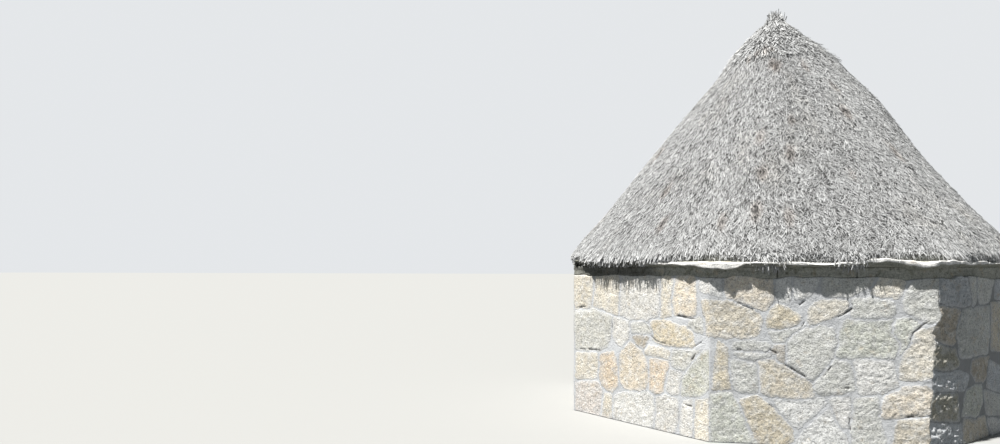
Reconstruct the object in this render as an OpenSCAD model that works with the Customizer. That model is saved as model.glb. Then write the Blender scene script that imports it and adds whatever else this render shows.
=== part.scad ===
// Round thatched hut on an eight-sided wall of rubble stone.
// Millimetres, +Z up. The origin is at ground level on the hut's axis, the
// front wall faces -Y and the doorway is in the back wall, at +Y.

/* [Wall] */
// Distance between two opposite outer wall faces
wall_across = 5100; // [4600:50:6200]
// Height of the masonry, from the ground to the eaves slabs' beds
wall_height = 1780; // [1500:10:2400]
// Thickness of the rubble wall
wall_thick = 450; // [380:10:560]
// Height of the course of long flat stones that levels the wall's top
levelling_height = 110; // [60:5:160]
// How far the levelling course stands out past the rubble
levelling_proud = 8; // [2:1:20]

/* [Doorway] */
// Clear width between the jambs
door_width = 800; // [650:10:1000]
// Width of each jamb stone, seen from the front
jamb_width = 210; // [150:10:260]
// Height of the lintel stone
lintel_height = 230; // [160:10:300]
// Height of the threshold stone above the ground
threshold_height = 70; // [40:5:120]
// Depth of the shallow step dressed into the jambs for a frame
rebate_depth = 25; // [10:5:40]

/* [Eaves slabs] */
// Thickness of the flat stones on top of the wall
slab_thick = 60; // [40:5:90]
// How far the slabs stand out past the wall face at most
slab_overhang = 90; // [60:10:200]
// Clearance between the slabs' beds and the rafters' feet
bed_clearance = 12; // [5:1:30]
// Length of a corner slab's arm along each of its two walls
corner_arm = 380; // [300:10:480]
// Joint between neighbouring slabs
slab_joint = 8; // [4:1:15]
// How far the slabs' broken front edges fall back in places
slab_rag = 28; // [0:2:40]

/* [Roof frame] */
// Diameter of the rafter poles
rafter_dia = 90; // [70:5:110]
// Diameter of the hoops bent round the rafters
hoop_dia = 36; // [24:2:50]
// Number of hoops up the roof
hoop_count = 8; // [5:1:10]
// Radius of the king block that the main rafters butt against
king_radius = 140; // [125:5:180]
// Radius at which the jack rafters end
jack_end_radius = 640; // [520:20:900]

/* [Thatch] */
// How far the thatch's edge passes the middles of the slabs
thatch_drip = 40; // [0:5:60]
// Height of the upright edge of the thatch at the eaves
eave_butt = 85; // [40:5:140]
// Radius of the trimmed corner above that edge
eave_round = 60; // [20:5:90]
// Slope of the roof
roof_slope = 50.2; // [44:0.1:56]
// Thickness of the thatch, square to the slope
thatch_thick = 260; // [200:10:320]
// How far the outer face swells past a straight cone
thatch_swell = 50; // [0:5:120]
// How far up the slope each course runs under the next one
course_lap = 260; // [120:20:400]
// How far below the roof's point the cap's lower edge lies
cap_drop = 720; // [500:20:900]
// How far the cap stands proud of the course below it
cap_step = 38; // [20:2:60]
// Height of the straw tuft above the cap
tuft_height = 180; // [80:10:240]

/* [Hidden] */
$fn = 64;

SIDES = 8;
turn = 360 / SIDES;
half_turn = turn / 2;
seat_gap = 0.3;        // clearance between a piece and the curved one it rests on

// Wall: the apothem is the distance from the axis to a flat side
outer_apothem = wall_across / 2;
inner_apothem = outer_apothem - wall_thick;
function half_side(apothem) = apothem * tan(half_turn);

rubble_height = wall_height - levelling_height;

// Doorway, in the side that faces +Y
BACK = 4;
surround_half = door_width / 2 + jamb_width;
lintel_bottom = wall_height - lintel_height;
rebate_inset = wall_thick / 3;

// Eaves slabs
slab_apothem = outer_apothem + slab_overhang;
slab_top = wall_height + slab_thick;
front_points = 6;      // corners in one slab's broken front edge

// Roof frame, worked inwards from the thatch's inner face
function across(square) = square / sin(roof_slope);
rise = tan(roof_slope);
thatch_radius = slab_apothem + thatch_drip;
eave_top = slab_top + eave_butt;
lining_radius = thatch_radius + eave_butt / rise - across(thatch_thick);
function lining_at(z) = lining_radius - (z - slab_top) / rise;
function lining_z(r) = slab_top + (lining_radius - r) * rise;
axis_inset = across(hoop_dia + rafter_dia / 2 + 2 * seat_gap);
function rafter_z(r) = lining_z(r + axis_inset);
foot_radius = lining_at(wall_height) - axis_inset;
bed_apothem = foot_radius + across(rafter_dia / 2) + bed_clearance;
rafter_reach = (foot_radius + rafter_dia) / cos(roof_slope);
end_half_height = rafter_dia / 2 / cos(roof_slope);
king_top = rafter_z(king_radius) + end_half_height + 15;
king_bottom = rafter_z(king_radius) - end_half_height - 60;
king_point = 150;
hoop_inset = across(hoop_dia / 2 + seat_gap);
hoop_first_z = slab_top + 110;
// The last hoop but one ties the jack rafters' ends
hoop_step = (rafter_z(jack_end_radius) - hoop_first_z) / (hoop_count - 2);

// Thatch: slope coordinate u runs from 0 at the eaves to 1 at the top
COURSES = 5;
roof_point = eave_top + thatch_radius * rise;
PROFILE_STEPS = 24;
EDGE_STEPS = 4;
function shell(u) = [
    thatch_radius * (1 - u) + thatch_swell * sin(180 * u) * sin(roof_slope),
    eave_top + thatch_radius * rise * u + thatch_swell * sin(180 * u) * cos(roof_slope)
];
cap_u = 1 - cap_drop / (roof_point - eave_top);
top_u = 0.936;         // the cap ends here, where the tuft starts
function course_u(k) = cap_u * k / COURSES;
gap_u = seat_gap / (roof_point - eave_top);
function lining(z) = [lining_at(z), z];
lap_rise = course_lap * sin(roof_slope);
// Where the joint between course k and the next one meets the lining
function joint_z(k) = k == 0 ? slab_top : min(shell(course_u(k)).y + lap_rise, lining_z(80));
butt_undercut = 14;    // the eaves are trimmed leaning back by this much
tuft_tip = 42;
tuft_dish = 40;        // hollow among the straw ends at the tuft's tip

// Colours
GRANITE = "#b9b2a2";
PALE_GRANITE = "#cdc9c0";
DARK_GRANITE = "#6f6d5c";
SLAB_STONE = "#a9a79f";
POLE = "#7b6650";
HAZEL = "#6b563f";
STRAW = "#a19a90";
OLD_STRAW = "#8f877b";

function turned(p, a) = [p.x * cos(a) - p.y * sin(a), p.x * sin(a) + p.y * cos(a)];

// Stands a child that is drawn for the front side on another side
module on_side(side) {
    rotate([0, 0, side * turn]) children();
}

// Masonry along one side. from and to are places along the side, or where
// they are left out the mitre, held back from its neighbour by a joint.
module masonry(height, face, from = undef, to = undef, joint = 0) {
    outer = half_side(face) - joint;
    inner = half_side(inner_apothem) - joint;
    linear_extrude(height)
        polygon([
            [is_undef(from) ? -outer : from, -face],
            [is_undef(to) ? outer : to, -face],
            [is_undef(to) ? inner : to, -inner_apothem],
            [is_undef(from) ? -inner : from, -inner_apothem]
        ]);
}

// The stretch between the doorway's stones and the corner. hand is -1 or 1.
module masonry_beside_door(height, face, hand, joint = 0) {
    if (hand < 0) masonry(height, face, to = -surround_half, joint = joint);
    else masonry(height, face, from = surround_half, joint = joint);
}

module wall(side) {
    color(GRANITE) on_side(side) masonry(rubble_height, outer_apothem);
}

module wall_beside_door(hand) {
    color(GRANITE) on_side(BACK) masonry_beside_door(rubble_height, outer_apothem, hand);
}

// Long flat stones that the eaves slabs lie on. The lintel takes their
// place over the doorway.
module levelling_course() {
    face = outer_apothem + levelling_proud;
    gap = slab_joint / 2;
    color(DARK_GRANITE) translate([0, 0, rubble_height])
        for (side = [0:SIDES - 1])
            on_side(side)
                if (side == BACK) {
                    for (hand = [-1, 1])
                        masonry_beside_door(levelling_height, face, hand, gap);
                } else {
                    shift = rands(-120, 120, 2, side + 51);
                    first = shift[0] - half_side(face) / 3;
                    second = shift[1] + half_side(face) / 3;
                    masonry(levelling_height, face, to = first - gap, joint = gap);
                    masonry(levelling_height, face, from = first + gap, to = second - gap);
                    masonry(levelling_height, face, from = second + gap, joint = gap);
                }
}

// An upright stone the full thickness of the wall, with a shallow rebate
// on its inner arris
module door_jamb(hand) {
    color(PALE_GRANITE) on_side(BACK)
        mirror([hand < 0 ? 1 : 0, 0, 0]) linear_extrude(lintel_bottom)
            polygon([
                [door_width / 2, -outer_apothem],
                [surround_half, -outer_apothem],
                [surround_half, -inner_apothem],
                [door_width / 2 + rebate_depth, -inner_apothem],
                [door_width / 2 + rebate_depth, -inner_apothem - rebate_inset],
                [door_width / 2, -inner_apothem - rebate_inset]
            ]);
}

// The jambs' rebate runs on across the lintel's underside
module door_lintel() {
    color(PALE_GRANITE) on_side(BACK)
        difference() {
            translate([-surround_half, -outer_apothem, lintel_bottom])
                cube([2 * surround_half, wall_thick, lintel_height]);
            translate([-door_width / 2 - rebate_depth, -inner_apothem - rebate_inset, 0])
                cube([door_width + 2 * rebate_depth, wall_thick, lintel_bottom + rebate_depth]);
        }
}

module door_threshold() {
    color(PALE_GRANITE) on_side(BACK)
        linear_extrude(threshold_height)
            polygon([
                [-door_width / 2, -outer_apothem],
                [door_width / 2, -outer_apothem],
                [door_width / 2, -inner_apothem - rebate_inset],
                [-door_width / 2, -inner_apothem - rebate_inset]
            ]);
}

// Points of a broken edge from x0 to x1 along a side, drawn for the front
function ragged(x0, x1, seed) =
    let (fall = rands(0, slab_rag, front_points, seed))
    [for (i = [0:front_points - 1])
        [x0 + (x1 - x0) * i / (front_points - 1), fall[i] - slab_apothem]];

// The stones that cap one side: two straight slabs and the one that turns
// the corner to the next side. Their joints are skewed, as split stone is.
module eaves_slabs(side) {
    arm = half_side(slab_apothem) - corner_arm;
    bed_arm = min(arm, half_side(bed_apothem) - slab_joint);
    skew = rands(-40, 40, 3, side + 11);
    middle = rands(-130, 130, 1, side + 31)[0];
    gap = slab_joint / 2;
    color(SLAB_STONE) on_side(side) translate([0, 0, wall_height]) {
        linear_extrude(slab_thick)
            polygon(concat(
                ragged(-arm + gap, middle - gap, side * 7 + 1),
                [[middle + skew[0] - gap, -bed_apothem], [-bed_arm + gap, -bed_apothem]]
            ));
        linear_extrude(slab_thick)
            polygon(concat(
                ragged(middle + gap, arm - gap, side * 7 + 2),
                [[bed_arm - gap, -bed_apothem], [middle + skew[0] + gap, -bed_apothem]]
            ));
        corner = half_side(slab_apothem);
        bed_corner = half_side(bed_apothem);
        linear_extrude(slab_thick)
            polygon(concat(
                ragged(arm + gap, corner - 2 * slab_rag, side * 7 + 3),
                [for (p = ragged(2 * slab_rag - corner, -arm - gap, side * 7 + 4)) turned(p, turn)],
                [turned([-bed_arm - gap, -bed_apothem], turn)],
                [[bed_corner, -bed_apothem]],
                [[bed_arm + gap, -bed_apothem]]
            ));
    }
}

// A pole on the slope from the wall top, at an angle round the hut. Its
// foot is cut level, to sit on the masonry.
module pole(angle, end_radius) {
    rotate([0, 0, angle]) difference() {
        translate([foot_radius + rafter_dia, 0, rafter_z(foot_radius + rafter_dia)])
            rotate([0, roof_slope - 90, 0])
                cylinder(h = rafter_reach, d = rafter_dia);
        translate([0, -rafter_dia, wall_height - rafter_dia * 4])
            cube([foot_radius * 2, rafter_dia * 2, rafter_dia * 4]);
        translate([-rafter_dia * 2, -rafter_dia, wall_height])
            cube([end_radius + rafter_dia * 2, rafter_dia * 2, roof_point]);
    }
}

// A main rafter, over a corner of the wall and cut plumb against the block
module rafter(corner) {
    color(POLE) pole(-90 + half_turn + corner * turn, king_radius);
}

module jack_rafters() {
    color(POLE)
        for (side = [0:SIDES - 1])
            pole(-90 + side * turn, jack_end_radius);
}

// Green-wood hoops lying on the poles, under the thatch
module roof_hoops() {
    color(HAZEL)
        for (i = [0:hoop_count - 1])
            let (z = hoop_first_z + i * hoop_step)
                translate([0, 0, z])
                    rotate_extrude()
                        translate([lining_at(z) - hoop_inset, 0])
                            circle(d = hoop_dia);
}

// Eight-sided hub with flats for the rafters' ends, and a hewn point below
module king_block() {
    hub = king_radius / cos(half_turn);
    color(POLE) {
        translate([0, 0, king_bottom])
            cylinder(r = hub, h = king_top - king_bottom, $fn = SIDES);
        translate([0, 0, king_bottom - king_point])
            cylinder(r1 = king_radius / 4, r2 = king_radius - 10, h = king_point, $fn = 32);
    }
}

// The trimmed edge at the eaves, up to where the slope begins
function eave_edge() =
    let (bend = 90 - roof_slope, drop = eave_round * tan(bend / 2))
    concat(
        [[thatch_radius - butt_undercut, slab_top]],
        [for (i = [0:EDGE_STEPS])
            [thatch_radius - eave_round, eave_top - drop]
                + eave_round * [cos(bend * i / EDGE_STEPS), sin(bend * i / EDGE_STEPS)]]
    );
edge_u = 1.2 * eave_round * tan((90 - roof_slope) / 2) * cos(roof_slope) / thatch_radius;

// Points up the outer face of the thatch between two slope coordinates
function shell_run(u0, u1) =
    let (steps = max(2, round(PROFILE_STEPS * (u1 - u0))))
    [for (i = [0:steps]) shell(u0 + (u1 - u0) * i / steps)];

// One lapped course of bundles. Its upper part runs up under the next.
module thatch_course(k) {
    color(k % 2 == 0 ? STRAW : OLD_STRAW)
        rotate_extrude()
            polygon(concat(
                k == 1 ? eave_edge() : [],
                shell_run(course_u(k - 1) + (k == 1 ? edge_u : gap_u), course_u(k)),
                [lining(joint_z(k)), lining(joint_z(k - 1) + (k == 1 ? 0 : seat_gap))]
            ));
}

// The cap covers the ends of the last course and stands proud of it
module thatch_cap() {
    face = shell_run(cap_u + gap_u, top_u);
    last = len(face) - 1;
    color(STRAW)
        rotate_extrude()
            polygon(concat(
                [face[0], face[0] + [cap_step, -cap_step / 3]],
                [for (i = [1:last]) face[i] + [cap_step * (1 - i / last), 0]],
                [[0, face[last].y], [0, lining_z(0)], lining(joint_z(COURSES) + seat_gap)]
            ));
}

module straw_tuft() {
    foot = shell(top_u);
    color(STRAW)
        rotate_extrude()
            polygon([
                [0, foot.y],
                foot + [-12, 0],
                [(foot.x + tuft_tip) / 2 - 14, foot.y + tuft_height / 3],
                [tuft_tip, foot.y + tuft_height],
                [tuft_tip - 16, foot.y + tuft_height],
                [0, foot.y + tuft_height - tuft_dish]
            ]);
}

wall(0);  // wall_front
wall(1);  // wall_front_right
wall(2);  // wall_right
wall(3);  // wall_back_right
wall(5);  // wall_back_left
wall(6);  // wall_left
wall(7);  // wall_front_left
wall_beside_door(1);  // wall_back_beside_door_left
wall_beside_door(-1);  // wall_back_beside_door_right
levelling_course();
door_jamb(1);  // door_jamb_left
door_jamb(-1);  // door_jamb_right
door_lintel();
door_threshold();
eaves_slabs(0);  // eaves_slabs_front
eaves_slabs(1);  // eaves_slabs_front_right
eaves_slabs(2);  // eaves_slabs_right
eaves_slabs(3);  // eaves_slabs_back_right
eaves_slabs(4);  // eaves_slabs_back
eaves_slabs(5);  // eaves_slabs_back_left
eaves_slabs(6);  // eaves_slabs_left
eaves_slabs(7);  // eaves_slabs_front_left
rafter(0);  // rafter_front_right
rafter(1);  // rafter_right_front
rafter(2);  // rafter_right_back
rafter(3);  // rafter_back_right
rafter(4);  // rafter_back_left
rafter(5);  // rafter_left_back
rafter(6);  // rafter_left_front
rafter(7);  // rafter_front_left
jack_rafters();
roof_hoops();
king_block();
thatch_course(1);  // thatch_course_1
thatch_course(2);  // thatch_course_2
thatch_course(3);  // thatch_course_3
thatch_course(4);  // thatch_course_4
thatch_course(5);  // thatch_course_5
thatch_cap();
straw_tuft();
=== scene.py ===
"""Rubble stone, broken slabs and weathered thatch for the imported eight-sided hut."""

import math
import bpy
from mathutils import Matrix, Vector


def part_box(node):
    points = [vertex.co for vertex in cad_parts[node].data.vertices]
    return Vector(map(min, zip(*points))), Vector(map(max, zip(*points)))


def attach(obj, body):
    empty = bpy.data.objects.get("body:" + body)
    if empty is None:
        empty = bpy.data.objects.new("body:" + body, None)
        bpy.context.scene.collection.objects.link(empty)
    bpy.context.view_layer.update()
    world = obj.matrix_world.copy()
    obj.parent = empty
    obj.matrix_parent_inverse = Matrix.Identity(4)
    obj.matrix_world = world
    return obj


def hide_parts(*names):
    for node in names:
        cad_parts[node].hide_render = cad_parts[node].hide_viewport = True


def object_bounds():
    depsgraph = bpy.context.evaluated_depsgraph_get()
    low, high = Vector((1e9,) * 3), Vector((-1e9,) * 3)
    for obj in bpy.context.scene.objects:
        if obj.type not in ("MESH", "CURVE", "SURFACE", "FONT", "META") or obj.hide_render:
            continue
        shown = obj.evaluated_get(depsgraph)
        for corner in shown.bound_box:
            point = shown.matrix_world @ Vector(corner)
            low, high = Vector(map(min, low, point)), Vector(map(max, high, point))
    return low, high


bl_info = {
    "name": "Thatched Stone Hut",
    "version": (1, 0, 0),
    "blender": (4, 5, 0),
    "location": "3D View > Sidebar > Hut",
    "description": "Finishes the packed hut with rubble masonry, rough slabs and loose straw",
    "category": "Object",
}

import bmesh
import bpy
import numpy as np
from bpy.props import FloatProperty, FloatVectorProperty, IntProperty, PointerProperty
from mathutils import Matrix, Vector

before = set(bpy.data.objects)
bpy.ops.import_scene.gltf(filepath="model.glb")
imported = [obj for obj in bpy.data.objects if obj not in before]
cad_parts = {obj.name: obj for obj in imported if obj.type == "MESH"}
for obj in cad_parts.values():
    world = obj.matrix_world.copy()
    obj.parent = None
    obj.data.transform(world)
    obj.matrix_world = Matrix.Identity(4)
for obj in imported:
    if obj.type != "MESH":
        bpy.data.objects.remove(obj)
cad_low, cad_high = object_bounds()

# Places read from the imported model, in metres
SIDES = 8
TURN = 2 * math.pi / SIDES
SIDE_SLOPE = math.tan(TURN / 2)
FRONT_FACE = -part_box("wall_front")[0].y
ROOM_FACE = -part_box("wall_front")[1].y
RUBBLE_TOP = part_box("wall_front")[1].z
BESIDE_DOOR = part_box("door_jamb_right")[1].x
SLAB_BED, SLAB_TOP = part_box("eaves_slabs_front")[0].z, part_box("eaves_slabs_front")[1].z
SLAB_FACE = -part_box("eaves_slabs_front")[0].y
THATCH_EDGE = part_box("thatch_course_1")[1].x
# The straw's room side: its radius on the slabs, and its rise for each metre inwards
LINING_FOOT, ROOF_RISE = 2.412, 1.2

# Sides are numbered from the front one, anticlockwise from above, and a corner as the
# side before it
SEEN_SIDES = (0, 1, 7)
SHADED_SIDES = (1, 2, 3, 4, 5)
SWOLLEN_SIDE, BACK_SIDE, WARM_SIDE = 1, 4, 7
RUGGED_CORNER = 0
WARM_TINT = (0.965, 0.945, 0.915)
SLABS = ["front", "front_right", "right", "back_right", "back", "back_left", "left", "front_left"]
# How far a side's patterns lie from those of the side before it
SIDE_STEP = 3.1
# Points closer than this are one
WELD = 0.0001
# How far the stones of the rugged corner stand out to the right, by height
QUOINS = [(0.15, -0.022), (0.46, -0.018), (0.54, 0.0), (0.95, 0.004), (1.04, 0.018),
          (1.14, -0.012), (1.22, 0.022), (1.31, 0.056), (1.38, 0.030), (1.52, 0.036), (1.67, 0.030)]

# Albedo of the stones, by the colour a mason would call them
TONES = {
    "white": (0.87, 0.87, 0.85),
    "pale": (0.84, 0.83, 0.80),
    "cream": (0.85, 0.80, 0.70),
    "peach": (0.86, 0.78, 0.66),
    "pink": (0.82, 0.77, 0.73),
    "orange": (0.84, 0.72, 0.58),
    "ochre": (0.80, 0.72, 0.57),
    "tan": (0.75, 0.69, 0.58),
    "brown": (0.58, 0.52, 0.43),
    "grey": (0.72, 0.72, 0.68),
    "green": (0.70, 0.71, 0.64),
    "blue": (0.62, 0.64, 0.66),
    "olive": (0.50, 0.48, 0.40),
}
COMMON_TONES = ["cream", "pale", "grey", "grey", "ochre", "tan", "blue", "green", "peach", "white"]

# Stones of the sides that are seen most: tone, then in centimetres the place along the
# side and the height of each corner, anticlockwise
FRONT_LEFT_STONES = [
    ("cream", -102, 127, -76, 128, -72, 150, -72, 166, -107, 166),
    ("cream", -69, 132, -51, 124, -29, 123, -24, 151, -27, 166, -63, 166),
    ("pale", -22, 123, -8, 117, 22, 119, 37, 128, 38, 153, 37, 166, -21, 166),
    ("cream", 40, 125, 54, 127, 56, 147, 58, 166, 41, 166),
    ("peach", 56, 142, 61, 129, 86, 127, 88, 144, 84, 166, 63, 166),
    ("grey", -100, 76, -72, 77, -48, 84, -37, 104, -39, 121, -58, 126, -104, 123),
    ("pale", -37, 99, -31, 92, -21, 87, -8, 104, -11, 116, -34, 119),
    ("grey", -6, 103, 25, 104, 23, 108, 13, 117, -6, 115),
    ("brown", 5, 88, 16, 91, 20, 101, -3, 100),
    ("ochre", 29, 100, 46, 95, 80, 96, 99, 100, 98, 109, 80, 112, 76, 122, 50, 123, 26, 117),
    ("grey", 80, 115, 90, 112, 99, 113, 99, 124, 83, 123),
    ("cream", 17, 83, 34, 79, 51, 79, 53, 88, 38, 89, 23, 91),
    ("cream", -100, 39, -63, 45, -60, 62, -65, 74, -100, 71),
    ("orange", -62, 52, -53, 38, -39, 33, -29, 42, -29, 63, -36, 77, -56, 71),
    ("peach", -24, 52, -13, 38, 8, 38, 17, 45, 20, 58, 17, 72, 8, 85, -5, 92, -22, 79),
    ("orange", 23, 59, 25, 41, 40, 40, 48, 60, 51, 77, 25, 77),
    ("grey", 54, 76, 63, 71, 74, 68, 83, 79, 91, 90, 56, 87),
    ("green", 68, 55, 72, 42, 91, 45, 104, 56, 104, 91, 94, 88, 78, 71),
    ("pale", 46, 47, 54, 40, 65, 46, 68, 67, 51, 65),
    ("white", -36, 1, -8, 1, 26, 1, 31, 21, 26, 38, -8, 36, -31, 28),
    ("cream", -55, 3, -37, 1, -36, 14, -39, 28, -51, 25),
    ("pink", -100, 2, -58, 2, -55, 26, -62, 41, -100, 37),
    ("pale", 31, 1, 56, 1, 64, 21, 61, 37, 50, 41, 34, 35),
    ("pale", 68, 22, 60, 1, 83, 1, 84, 14, 83, 39, 67, 37),
    ("cream", 87, 1, 104, 1, 102, 42, 88, 38),
    ("white", 95, 154, 107, 152, 114, 151, 114, 166, 96, 166),
    ("tan", 102, 111, 114, 108, 114, 143, 98, 142),
]
FRONT_STONES = [
    ("white", -114, 155, -105, 152, -93, 148, -94, 166, -113, 166),
    ("peach", -90, 148, -75, 142, -62, 136, -52, 134, -46, 144, -44, 155, -47, 166, -90, 166),
    ("white", -40, 146, -29, 145, -27, 155, -31, 166, -40, 165),
    ("tan", -109, 111, -95, 107, -68, 108, -58, 112, -56, 125, -64, 134, -79, 141, -93, 143, -112, 142),
    ("ochre", -48, 118, -37, 115, -23, 118, -14, 122, -21, 127, -21, 139, -37, 143, -50, 132),
    ("white", -25, 146, -14, 143, -9, 152, -1, 155, -2, 165, -24, 165),
    ("grey", 3, 152, 15, 144, 24, 149, 36, 150, 46, 157, 49, 166, 3, 166),
    ("cream", -12, 126, -7, 119, 6, 127, 20, 134, 26, 139, 18, 145, 1, 145, -11, 135),
    ("cream", 48, 153, 56, 147, 68, 149, 76, 158, 74, 166, 53, 166),
    ("grey", 27, 136, 29, 128, 61, 128, 66, 140, 62, 146, 31, 145),
    ("green", 21, 111, 18, 89, 68, 90, 73, 102, 68, 117, 64, 126, 24, 125),
    ("green", 72, 107, 74, 95, 82, 106, 90, 120, 79, 127, 67, 124),
    ("grey", 76, 134, 84, 130, 95, 125, 112, 129, 114, 141, 115, 165, 94, 166, 79, 160),
    ("cream", 80, 92, 77, 71, 88, 69, 111, 74, 111, 117, 105, 118, 92, 116),
    ("grey", -31, 88, -23, 77, -7, 67, 3, 69, 11, 86, 16, 101, 13, 116, -13, 117, -31, 105),
    ("grey", -41, 104, -33, 102, -27, 107, -17, 118, -45, 112),
    ("brown", -43, 93, -36, 83, -30, 87, -31, 99, -40, 99),
    ("grey", -80, 97, -71, 94, -49, 95, -48, 99, -71, 103, -80, 102),
    ("grey", -71, 84, -51, 86, -45, 89, -56, 92, -77, 90),
    ("tan", -53, 53, -42, 48, -23, 46, -6, 49, -6, 60, -18, 70, -34, 80, -47, 87, -56, 83),
    ("grey", -83, 59, -75, 54, -60, 53, -59, 64, -58, 82, -71, 82, -84, 86),
    ("ochre", -99, 74, -101, 54, -85, 56, -86, 74, -88, 95, -96, 100),
    ("grey", -4, 56, 6, 52, 24, 55, 33, 59, 31, 72, 27, 84, 16, 86, 3, 72),
    ("pale", 40, 54, 61, 55, 74, 59, 70, 76, 68, 86, 35, 86),
    ("peach", 62, 33, 75, 31, 97, 34, 108, 40, 105, 57, 97, 61, 76, 58, 65, 54),
    ("tan", 75, 17, 71, 1, 108, 1, 108, 30, 88, 30, 76, 27),
    ("white", -27, 25, -18, 19, -7, 28, 6, 42, 4, 46, -40, 44),
    ("white", -18, 6, -23, 1, 31, 1, 25, 12, 18, 27, 12, 40, 7, 38, -4, 27, -15, 17),
    ("pale", 22, 23, 29, 21, 32, 29, 32, 47, 14, 46),
    ("ochre", -64, 14, -54, 1, -32, 1, -25, 6, -27, 20, -37, 30, -48, 40, -59, 47, -73, 43),
    ("green", -103, 1, -59, 1, -65, 12, -70, 29, -74, 41, -80, 52, -102, 49),
    ("grey", 33, 23, 36, 1, 66, 1, 61, 24, 58, 38, 56, 50, 34, 47),
]
FRONT_RIGHT_STONES = [
    ("blue", -108, 144, -77, 142, -50, 137, -37, 144, -46, 160, -50, 166, -108, 166),
    ("grey", -33, 138, -27, 144, -29, 166, -42, 166),
    ("grey", -25, 154, -16, 141, 6, 140, 13, 154, 20, 166, -22, 166),
    ("blue", 23, 147, 63, 142, 63, 166, 25, 166),
    ("grey", -65, 110, -58, 89, 4, 88, 9, 112, 6, 137, -58, 133),
    ("brown", -108, 124, -105, 111, -73, 100, -69, 115, -63, 133, -91, 138, -108, 138),
    ("tan", 16, 92, 63, 87, 63, 137, 13, 139),
    ("olive", -108, 80, -79, 76, -63, 81, -71, 96, -95, 102, -108, 104),
    ("brown", -35, 73, -20, 60, 0, 61, 9, 82, -31, 84),
    ("blue", 6, 53, 41, 43, 41, 67, 11, 78),
    ("olive", -104, 30, -61, 25, -65, 52, -103, 53),
    ("blue", -103, 1, -56, 1, -58, 21, -103, 26),
    ("blue", -108, 58, -50, 56, -42, 67, -67, 74, -108, 76),
    ("green", -52, 30, -22, 24, -7, 37, -11, 57, -46, 52),
    ("tan", -50, 1, 9, 1, 0, 20, -50, 24),
    ("grey", 4, 26, 44, 19, 44, 39, 0, 47),
    ("pale", 13, 1, 44, 1, 44, 13, 9, 17),
]

# Seeded rubble: the mortar between its stones, how high a course and how wide a stone
# may be, and what is too low or too narrow to stand as one more
SEEDED_JOINT = 0.024
COURSE_HEIGHT, STONE_WIDTH = (0.26, 0.44), (0.22, 0.62)
TOO_LOW, TOO_NARROW = 0.20, 0.17

# Joints that have lost their mortar, sunk a little and painted near black as painted shade, by side:
# the place and height of both ends, half width
OPEN_JOINTS = {
    7: [
        (0.64, 1.26, 0.87, 1.24, 0.014), (-1, 1.27, -0.79, 1.3, 0.01),
        (-0.94, 0.77, -0.53, 0.79, 0.009), (0.25, 1.02, 0.32, 0.97, 0.009),
        (0.32, 0.97, 0.54, 0.94, 0.007), (0.91, 0.92, 0.82, 0.81, 0.013),
        (-0.37, 1.06, -0.36, 1.19, 0.008), (0.14, 1.16, 0.22, 1.08, 0.007),
        (0.87, 0.96, 0.96, 1.01, 0.009), (0.71, 0.34, 0.82, 0.33, 0.01),
    ],
    0: [
        (-0.78, 1.42, -0.64, 1.35, 0.01), (0.28, 1.37, 0.15, 1.29, 0.012),
        (0.84, 1.07, 0.97, 1.26, 0.016), (-0.31, 0.8, -0.12, 0.69, 0.011),
        (-0.46, 0.95, -0.4, 0.92, 0.014), (0.86, 0.32, 1.05, 0.34, 0.017),
        (-0.8, 0.95, -0.74, 0.94, 0.011), (-0.2, 1.4, -0.15, 1.44, 0.013),
        (0.25, 0.59, 0.32, 0.58, 0.011), (0.31, 0.29, 0.32, 0.18, 0.009),
        (0.06, 0.7, 0.12, 0.79, 0.011), (-0.59, 1.1, -0.56, 1.18, 0.009),
        (-0.16, 1.19, -0.14, 1.25, 0.01), (0.79, 1.27, 0.87, 1.25, 0.009),
        (-0.46, 0.4, -0.42, 0.37, 0.009),
    ],
}

# Directions round the hut are angles from +X, anticlockwise. The tables hold degrees.

# Stones darkened under the straw on the left, as painted shade: direction, half its width, how dark
PAINTED_EAVE_SHADE = [(-143, 16, 1.0)]
# The slab with an unbroken edge, and the corner whose edge has worn away
WHOLE_SLAB, WORN_CORNER = math.radians(-111), math.radians(-164)
# Places where a slab sticks out further: direction, half its width, how far
PROUD_SLABS = [
    (-140, 12, 0.006), (-101.5, 3.2, 0.022), (-94, 2.2, 0.005), (-88, 3.8, 0.024), (-48, 7, 0.006),
    (-20, 5, 0.015), (14, 6, 0.01), (52, 5, 0.01), (100, 6, 0.012), (146, 5, 0.01),
]
# Small holes in the straw, painted dark as painted shade: direction, height, radius
HOLES_PAINTED_DARK = [
    (-94, 3.02, 0.06), (-103, 2.79, 0.055), (-104, 2.36, 0.06), (-112, 2.24, 0.05),
    (-92, 3.45, 0.04), (-105, 3.23, 0.05), (-96, 2.29, 0.055), (-52, 3.05, 0.06),
    (-135, 2.65, 0.05), (-129, 2.25, 0.045), (-64, 3.56, 0.05), (-76, 2.74, 0.035),
    (-102, 4.25, 0.05), (-98, 4.23, 0.05), (-73, 4.22, 0.045), (-128, 4.36, 0.03),
    (-120, 4.42, 0.03), (-111, 4.46, 0.035), (-103, 4.47, 0.03), (-60, 3.9, 0.04),
    (-20, 2.9, 0.06), (30, 3.3, 0.06), (75, 2.6, 0.07), (120, 3.5, 0.06), (160, 2.8, 0.06),
    (200, 3.2, 0.06), (140, 4.1, 0.05),
]
# Straw that hangs over the slabs: direction, half its width, how far it hangs down
HANGING = [
    (-141, 15, 0.035), (-100, 2.6, 0.12), (-84, 1.7, 0.13), (-60, 2, 0.05), (-22, 6, 0.04),
    (12, 3, 0.09), (48, 8, 0.05), (80, 2, 0.10), (101, 5, 0.06), (140, 9, 0.05), (172, 3, 0.08),
]
# The side whose straws lie most evenly, the side whose straws are painted paler as painted light, the
# sagged shoulder and the fullest part of the eave
CALM_SIDE, PAINTED_LIGHT_SIDE = math.radians(-160), math.radians(-10)
SHOULDER, FULL_EAVE = math.radians(-9), math.radians(-137)


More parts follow.
